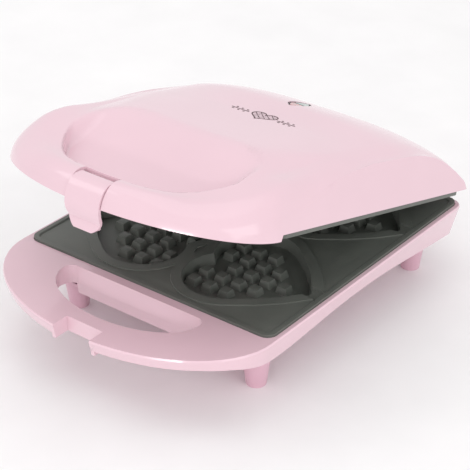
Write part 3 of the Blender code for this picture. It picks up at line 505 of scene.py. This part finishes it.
def make_lid():
    """The lid's shell with its hinge lugs, opened for the clip and the window."""
    mesh = lid_mesh()
    shell = bpy.data.objects.new("lid_shell", mesh)
    bpy.context.scene.collection.objects.link(shell)
    wall = shell.modifiers.new("thickness", "SOLIDIFY")
    wall.thickness = WALL * MM
    wall.offset = -1.0
    side = LATCH_HALF + 0.6
    front = LID_FRONT_Y - LID_REACH - 17.5
    recess = [(-side, front), (side, front), (side, RECESS_REAR_Y), (-side, RECESS_REAR_Y)]
    cutters = [
        lid_cutter("recess", recess, 50.0, 80.0),
        lid_cutter("window", window_outline(0.3), 80.0, 110.0),
    ]
    lugs = [lid_lug("lug_left", -1), lid_lug("lug_right", 1)]
    for cutter in cutters + lugs:
        joining = shell.modifiers.new(cutter.name, "BOOLEAN")
        joining.object = cutter
        joining.operation = "UNION" if cutter in lugs else "DIFFERENCE"
        joining.solver = "MANIFOLD"
    mesh = applied(shell)
    for cutter in cutters + lugs:
        bpy.data.objects.remove(cutter)
    bpy.data.objects.remove(shell)
    smooth(mesh, 38.0)
    return new_piece("lid_shell", mesh, PINK, "lid", "housing_pink", "lid_housing")


# The ornament: a heart with a waffle grid, and a line with three pairs of rings on each side.


def ribbon(bm, points, width):
    """A flat line of this width that lies on the lid, through points (x, y)."""
    last = None
    for i, point in enumerate(points):
        before, after = points[max(i - 1, 0)], points[min(i + 1, len(points) - 1)]
        run = Vector((after[0] - before[0], after[1] - before[1]))
        side = Vector((-run.y, run.x)).normalized() * width / 2
        ends = []
        for sign in (-1, 1):
            x, y = point[0] + sign * side.x, point[1] + sign * side.y
            ends.append(bm.verts.new((x, y, lid_height(x, y) + PRINT_LIFT)))
        if last:
            bm.faces.new((last[0], last[1], ends[1], ends[0]))
        last = ends


def heart_points(size, steps=64):
    """A closed line of points round a heart of this width."""
    points = []
    for i in range(steps + 1):
        t = 2 * math.pi * i / steps
        x = 16 * math.sin(t) ** 3
        y = 13 * math.cos(t) - 5 * math.cos(2 * t) - 2 * math.cos(3 * t) - math.cos(4 * t)
        points.append((PRINT_MIDDLE[0] + size * x / 32, PRINT_MIDDLE[1] + size * y / 32))
    return points


def inside(points, x, y):
    """Whether (x, y) lies inside a closed line of points."""
    found = False
    for (x0, y0), (x1, y1) in zip(points, points[1:]):
        if (y0 > y) != (y1 > y) and x < x0 + (y - y0) * (x1 - x0) / (y1 - y0):
            found = not found
    return found


def grid_lines(heart, pitch):
    """Diagonal lines, cut where they leave the heart."""
    lines = []
    for slope in (-1, 1):
        for step in range(-6, 7):
            line = []
            for i in range(-80, 81):
                t = i * 0.15
                x = PRINT_MIDDLE[0] + t
                y = PRINT_MIDDLE[1] + slope * t + step * pitch
                if inside(heart, x, y):
                    line.append((x, y))
            if len(line) > 4:
                lines.append(line)
    return lines


def make_print():
    """The heart, its waffle grid, and a line with dots on each side."""
    bm = bmesh.new()
    ribbon(bm, heart_points(HEART_WIDTH), 0.9)
    for line in grid_lines(heart_points(HEART_WIDTH - 1.4), GRID_PITCH):
        ribbon(bm, line, 0.45)
    for side in (-1, 1):
        start = PRINT_MIDDLE[0] + side * 11.5
        end = PRINT_MIDDLE[0] + side * PRINT_WIDTH / 2
        line = [(start + (end - start) * i / 16, PRINT_MIDDLE[1]) for i in range(17)]
        ribbon(bm, line, 0.9)
        for number in range(3):
            x = start + (end - start) * (0.2 + 0.3 * number)
            for rise in (-2.6, 2.6):
                ribbon(bm, arc((x, PRINT_MIDDLE[1] + rise), 0.55, 0, 360, 12), 0.6)
    bmesh.ops.recalc_face_normals(bm, faces=bm.faces)
    for face in bm.faces:
        if face.normal.z < 0:
            face.normal_flip()
    bm.transform(lid_placing())
    mesh = bpy.data.meshes.new("lid_print")
    bm.to_mesh(mesh)
    bm.free()
    return new_piece("lid_print", mesh, INK, "lid", "bezel_grey")


def repaint_the_rest():
    """CAD nodes that stay get the finish of their material slot."""
    for part in frame["record"]["subparts"]:
        node = frame["nodes"][part["node"]]
        node.data.materials.clear()
        node.data.materials.append(LOOKS[part["material_slot"]])


# The stage.


def area_light(name, place, target, size, power, size_y=None):
    data = bpy.data.lights.new(name, "AREA")
    data.energy = power
    data.size = size
    if size_y:
        data.shape = "RECTANGLE"
        data.size_y = size_y
    light = bpy.data.objects.new(name, data)
    light.location = place
    aim = Vector(target) - Vector(place)
    light.rotation_euler = aim.to_track_quat("-Z", "Y").to_euler()
    bpy.context.scene.collection.objects.link(light)
    return light


def make_camera():
    right = Vector((0.7894, 0.6139, 0.0)).normalized()
    back = Vector((0.53253, -0.68475, 0.49752)).normalized()
    up = back.cross(right).normalized()
    data = bpy.data.cameras.new("camera")
    camera = bpy.data.objects.new("camera", data)
    placing = Matrix((right, up, back)).transposed().to_4x4()
    placing.translation = (0.56404, -0.71570, 0.57340)
    camera.matrix_world = placing
    data.sensor_width = 36.0
    data.lens = 119.86
    bpy.context.scene.collection.objects.link(camera)
    bpy.context.scene.camera = camera


def make_stage():
    bpy.context.scene.view_settings.view_transform = "Standard"
    mesh = bpy.data.meshes.new("floor")
    bm = bmesh.new()
    bmesh.ops.create_grid(bm, x_segments=8, y_segments=8, size=3.0)
    bm.to_mesh(mesh)
    bm.free()
    floor = bpy.data.objects.new("floor", mesh)
    bpy.context.scene.collection.objects.link(floor)
    mesh.materials.append(moulded("floor_white", (0.93, 0.93, 0.93), 0.8, grain=0.0))
    world = bpy.data.worlds.new("studio")
    world.use_nodes = True
    world.node_tree.nodes["Background"].inputs["Color"].default_value = (1.0, 0.985, 0.99, 1.0)
    world.node_tree.nodes["Background"].inputs["Strength"].default_value = 0.90
    bpy.context.scene.world = world
    area_light("top", (-0.3, 0.1, 1.9), (0, 0, 0.05), 1.6, 3.5)
    area_light("key", (-1.1, -0.7, 1.3), (0, 0, 0.05), 0.7, 2.0)
    area_light("fill", (1.3, -0.4, 0.8), (0, 0, 0.05), 0.9, 3.5)
    area_light("bar", (0.35, -1.2, 0.42), (0, -0.1, 0.1), 0.40, 1.6, 0.07)


make_camera()
make_stage()
repaint_the_rest()
make_lid()
make_print()
refined("base_housing", "base", "housing_pink", 0.7)
refined("bottom_cover", "base", "cover_pink", 0.5)
refined("lower_plate", "base", "nonstick_coating", 0.35)
refined("upper_plate", "lid", "nonstick_coating", 0.35)
refined("latch_clip", "latch", "housing_pink", 0.45)
refined("lid_inner_frame", "lid", "cover_pink", 0.2)
refined("lid_bar_cover", "lid", "cover_pink", 0.2)
refined("indicator_bezel", "lid", "bezel_grey", 0.15)
refined("lens_red", "lid", "red_lens", 0.25)
refined("lens_green", "lid", "green_lens", 0.25)
refined("cord_inlet_bush", "base", "grommet_black", 0.3)
